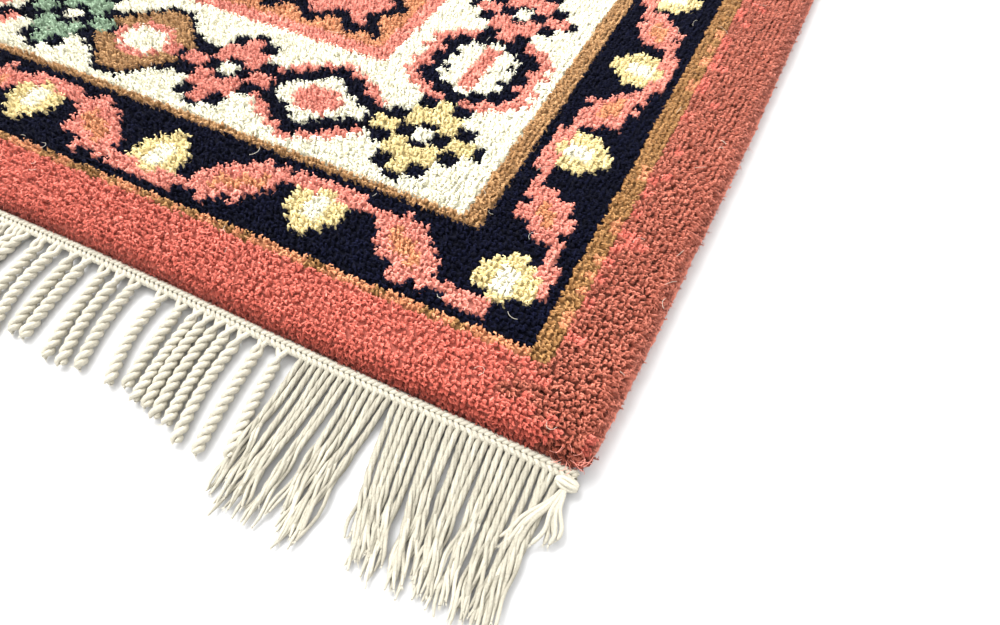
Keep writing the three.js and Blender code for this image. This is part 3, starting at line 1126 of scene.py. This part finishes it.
def add_loose(gather, rng):
    """Four soft yarns to a strand: lightly plied at the root, parted and wavy at the tip."""
    root, tip, reach = loose_paths()
    count = len(root)
    share = np.linspace(0, 1, YARN_STATIONS)[None]
    end = tip + rng.normal(0, LOOSE_TIP_UNEVEN, count)
    x = root[:, None] + (end - root)[:, None] * share**SWING_EASE
    x = x + rng.normal(0, LOOSE_BOW, (count, 1)) * np.sin(np.pi * share)
    y = strip_line(root)[:, None] - (reach[:, None] + STRIP_WIDTH / 2) * share
    arch = rng.uniform(0, LOOSE_LIFT, (count, 1)) * np.sin(np.pi * share)
    z = fall(share, LOOSE_TOP, LOOSE_REST, LOOSE_DROP) + arch
    spine = np.stack([x, y, z], -1)
    apart = np.clip((share - rng.uniform(*PART_FROM, (count, 1))) / PART_OVER, 0, 1)
    phase = rng.uniform(0, 2 * np.pi, (count, 1))
    wave = rng.uniform(0, 2 * np.pi, (count, 1))
    for k in range(STRAND_YARNS):
        yarn = twisted(spine, YARN_WIND, YARN_PITCH, phase + 2 * np.pi * k / STRAND_YARNS)
        high = np.clip(0.5 + 0.5 * (yarn[..., 2] - spine[..., 2]) / YARN_WIND, 0, 1)
        sweep = rng.normal(0, PARTED_SWEEP, (count, 1)) * apart**PARTED_EASE
        turns = share * rng.uniform(*CURL_TURNS, (count, 1)) + wave + CURL_LAG * k
        yarn[..., 0] += sweep + PARTED_CURL * np.sin(turns) * apart
        yarn[..., 1] += rng.normal(0, PARTED_LENGTH, (count, 1)) * apart
        lift = rng.uniform(0, PARTED_LIFT, (count, 1)) * np.sin(np.pi * apart)
        yarn[..., 2] = np.maximum(yarn[..., 2] + lift, YARN_LOWEST)
        radius = YARN_RADIUS * (1 - PARTED_THINNING * apart) * np.ones((count, YARN_STATIONS))
        radius[:, -1] = YARN_TIP_RADIUS
        # Painted shade: yarns low in the twist darker, yarns parted at the tip lighter; the loose
        # yarns' lower mean tone than the cords' also stands for the shade between strands.
        depth = LOW_YARN_SHADE + (1 - LOW_YARN_SHADE) * np.maximum(high, apart)
        tone = rng.normal(*YARN_TONE, (count, 1)) * depth * (1 + PARTED_TONE * apart)
        add_tubes(gather, yarn, radius, YARN_SIDES, tone)
        add_fuzz(gather, yarn, YARN_FUZZ_RADIUS, rng, YARN_FUZZ)
        add_fray(gather, yarn[:, -1], unit(yarn[:, -1] - yarn[:, -3]), rng, YARN_FRAY)


def add_cords(gather, rng):
    """Two plies to a cord: gathered from the strip, then tightly twisted to a blunt end."""
    root, tip, reach = cord_paths()
    count = len(root)
    share = np.linspace(0, 1, CORD_STATIONS)[None]
    bow = rng.normal(0, CORD_BOW, (count, 1)) * np.sin(np.pi * share)
    x = root[:, None] + (tip - root)[:, None] * (share - CORD_LAG * np.sin(np.pi * share)) + bow
    y = strip_line(root)[:, None] - (reach[:, None] + STRIP_WIDTH / 2) * share
    z = fall(share, CORD_TOP, CORD_REST, CORD_DROP) + np.zeros_like(x)
    spine = np.stack([x, y, z], -1)
    pitch = rng.normal(CORD_PITCH, CORD_PITCH_UNEVEN, (count, 1))
    phase = rng.uniform(0, 2 * np.pi, (count, 1))
    gathered = 1 - np.clip(share / GATHER_SHARE, 0, 1) ** GATHER_EASE
    for k in range(2):
        ply = twisted(spine, PLY_WIND * (1 - gathered), pitch, phase + np.pi * k)
        ply[..., 0] += (2 * k - 1) * GATHER_HALF * gathered
        ply[..., 2] = np.maximum(ply[..., 2], PLY_LOWEST)
        radius = (PLY_RADIUS - GATHER_THINNING * gathered) * np.ones((count, CORD_STATIONS))
        radius[:, -2:] *= BLUNT_ENDS
        tone = rng.normal(*CORD_TONE, (count, 1)) * np.ones((1, CORD_STATIONS))
        add_tubes(gather, ply, radius, YARN_SIDES, tone)
        add_fuzz(gather, ply, PLY_RADIUS, rng, CORD_FUZZ)
        add_fray(gather, ply[:, -1], unit(ply[:, -1] - ply[:, -4]), rng, CORD_FRAY)


def add_corner_tie(gather, rng):
    """The strip's yarns turned back on themselves at its right end, with a splayed tail."""
    x = STRIP_RIGHT - TIE_IN
    middle = np.array([x, strip_line(STRIP_RIGHT) - TIE_OUT, TIE_RADIUS + TIE_UP])
    share = np.linspace(0, 1, TIE_STATIONS)[None]
    out = TIE_RADIUS * np.sin(np.pi * (TIE_PINCH + (1 - 2 * TIE_PINCH) * share)) ** 0.5
    turn = 2 * np.pi * np.arange(TIE_YARNS)[:, None] / TIE_YARNS + TIE_TURN * share
    along = TIE_LENGTH * (share - 0.5) + 0 * turn
    ribs = middle + np.stack([along, out * np.cos(turn), out * np.sin(turn)], -1)
    core = middle + np.stack([along, 0 * along, 0 * along], -1)[:1]
    radii = np.full((TIE_YARNS, TIE_STATIONS), TIE_YARN_RADIUS)
    add_tubes(gather, ribs, radii, TIE_YARN_SIDES, np.array([[TIE_TONE]]))
    add_tubes(gather, core, out, TIE_CORE_SIDES, np.array([[TIE_CORE_TONE]]))
    tips = np.array(TAIL_TIPS)
    share = np.linspace(0, 1, YARN_STATIONS)[None]
    wave = rng.uniform(0, 2 * np.pi, (len(tips), 1))
    curl = TAIL_WAVE * share * np.sin(share * TAIL_TURNS + wave)
    arch = TAIL_ARCH * np.sin(np.pi * share)
    paths = np.zeros((len(tips), YARN_STATIONS, 3))
    paths[..., 0] = middle[0] + tips[:, :1] * share**TAIL_EASE + curl
    paths[..., 1] = middle[1] - TAIL_START + (tips[:, 1:] + TAIL_START) * share
    height = fall(share, TAIL_TOP, TAIL_REST, TAIL_DROP) + arch
    paths[..., 2] = height + TAIL_UNEVEN * np.sin(wave) * share
    radii = np.full((len(tips), YARN_STATIONS), TAIL_RADIUS)
    radii[:, -1] = YARN_TIP_RADIUS
    add_tubes(gather, paths, radii, YARN_SIDES, rng.normal(*TAIL_TONE, (len(tips), 1)))
    add_fray(gather, paths[:, -1], unit(paths[:, -1] - paths[:, -3]), rng, TAIL_FRAY)


def add_fuzz(gather, paths, radius, rng, number, reach=FUZZ_REACH):
    """Short hairs standing off the yarns."""
    count = len(paths) * number
    which = np.repeat(np.arange(len(paths)), number)
    place = paths[which, rng.integers(2, paths.shape[1] - 1, count)]
    off = unit(rng.normal(0, 1, (count, 3)) + [0, 0, FUZZ_UP])
    root = place + FUZZ_SINK * radius * off
    across = unit(np.cross(off, rng.normal(0, 1, (count, 3)))) * FUZZ_HALF_WIDTH
    ahead = off + rng.normal(0, FUZZ_STRAY, (count, 3))
    tip = root + ahead * rng.uniform(*reach, (count, 1))
    points = np.stack([root - across, root + across, tip], 1)
    points[..., 2] = np.maximum(points[..., 2], LEAST_HEIGHT)
    faces = np.arange(3 * count).reshape(count, 1, 3)
    gather.add(points, faces, rng.uniform(*FUZZ_TONE, (count, 1)))


def add_fray(gather, ends, ahead, rng, number):
    """Fine cotton hairs at the cut ends."""
    count = len(ends) * number
    root = np.repeat(ends, number, 0)
    stray = rng.normal(0, FRAY_STRAY, (count, 3)) * [1, 1, FRAY_FLATNESS]
    along = unit(np.repeat(ahead, number, 0) + stray)
    reach = rng.uniform(*FRAY_REACH, (count, 1))
    across = unit(np.cross(along, [0, 0, 1.0])) * rng.uniform(*FRAY_HALF_WIDTH, (count, 1))
    tip = root + along * reach
    tip[:, 2] = np.maximum(tip[:, 2], FRAY_LOWEST)
    points = np.stack([root - across, root + across, tip], 1)
    faces = np.arange(3 * count).reshape(count, 1, 3)
    gather.add(points, faces, rng.uniform(*FRAY_TONE, (count, 1)))


def fringe(name, half_turn, seed):
    """The front fringe, or the same yarns turned half round for the back."""
    rng = np.random.default_rng(seed)
    gather = Gather()
    add_strip(gather)
    add_loose(gather, rng)
    add_cords(gather, rng)
    add_corner_tie(gather, rng)
    if half_turn:
        gather.points = [points * [-1, -1, 1] for points in gather.points]
    piece = gather.piece(name + "_yarn")
    piece.data.materials.append(cotton())
    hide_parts(name)
    return piece


# Stage


CAMERA_FOCUS_PX = 715.0
CAMERA_PLACE = (300.3, -551.1, 232.5)
CAMERA_YAW, CAMERA_TILT, CAMERA_ROLL = (math.radians(a) for a in (24.41, 36.15, 1.85))
PHOTO_WIDTH_PX = 1000
CAMERA_NEAR_M = 0.01
FLOOR_HALF_M, FLOOR_DROP_M = 4.0, 0.0003
FLOOR_GREY, FLOOR_ROUGHNESS = 0.52, 0.7
SKY_STRENGTH = 1.8
KEY_PLACE_M, KEY_AIM_M = (-1.3, 0.5, 2.2), (0.05, -0.2, 0)
KEY_SIZE_M, KEY_POWER_W = 1.7, 125


def camera():
    """The camera fitted to the photo."""
    data = bpy.data.cameras.new("camera")
    data.sensor_fit = "HORIZONTAL"
    data.lens = data.sensor_width * CAMERA_FOCUS_PX / PHOTO_WIDTH_PX
    data.clip_start = CAMERA_NEAR_M
    turn = Matrix.Rotation(CAMERA_YAW, 4, "Z") @ Matrix.Rotation(CAMERA_TILT, 4, "X")
    turn = turn @ Matrix.Rotation(CAMERA_ROLL, 4, "Z")
    holder = bpy.data.objects.new("camera", data)
    holder.matrix_world = Matrix.Translation(Vector(CAMERA_PLACE) * MM) @ turn
    bpy.context.collection.objects.link(holder)
    bpy.context.scene.camera = holder


def floor():
    half = FLOOR_HALF_M
    mesh = bpy.data.meshes.new("floor")
    outline = ((-half, -half), (half, -half), (half, half), (-half, half))
    corners = [(x, y, -FLOOR_DROP_M) for x, y in outline]
    mesh.from_pydata(corners, [], [(0, 1, 2, 3)])
    piece = bpy.data.objects.new("floor", mesh)
    bpy.context.collection.objects.link(piece)
    material, tree, shader = node_tree("floor")
    shader.inputs["Base Color"].default_value = (FLOOR_GREY, FLOOR_GREY, FLOOR_GREY, 1)
    shader.inputs["Roughness"].default_value = FLOOR_ROUGHNESS
    piece.data.materials.append(material)
    piece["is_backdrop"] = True


def lights():
    """A white sky and one large key light."""
    world = bpy.data.worlds.new("studio")
    world.use_nodes = True
    sky = world.node_tree.nodes["Background"]
    sky.inputs["Color"].default_value = (1, 1, 1, 1)
    sky.inputs["Strength"].default_value = SKY_STRENGTH
    bpy.context.scene.world = world
    data = bpy.data.lights.new("key", "AREA")
    data.energy = KEY_POWER_W
    data.size = KEY_SIZE_M
    light = bpy.data.objects.new("key", data)
    light.location = KEY_PLACE_M
    aim = Vector(KEY_AIM_M) - Vector(KEY_PLACE_M)
    light.rotation_euler = aim.to_track_quat("-Z", "Y").to_euler()
    bpy.context.collection.objects.link(light)
    bpy.context.scene.view_settings.view_transform = "Standard"


def main():
    chart = design()
    pile = pile_pieces(chart)
    base = foundation(chart)
    edges = selvedge()
    hairs = stray_hairs()
    ends = [fringe("fringe_front", False, SEED + 3), fringe("fringe_back", True, SEED + 4)]
    others = [*pile, edges, *hairs, *ends]
    for piece in [base, *others]:
        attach(piece, "root")
    floor()
    lights()
    camera()
    boxes = {"cad": cad_box, "visual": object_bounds()}
    boxes = {name: [list(map(float, corner)) for corner in box] for name, box in boxes.items()}


main()
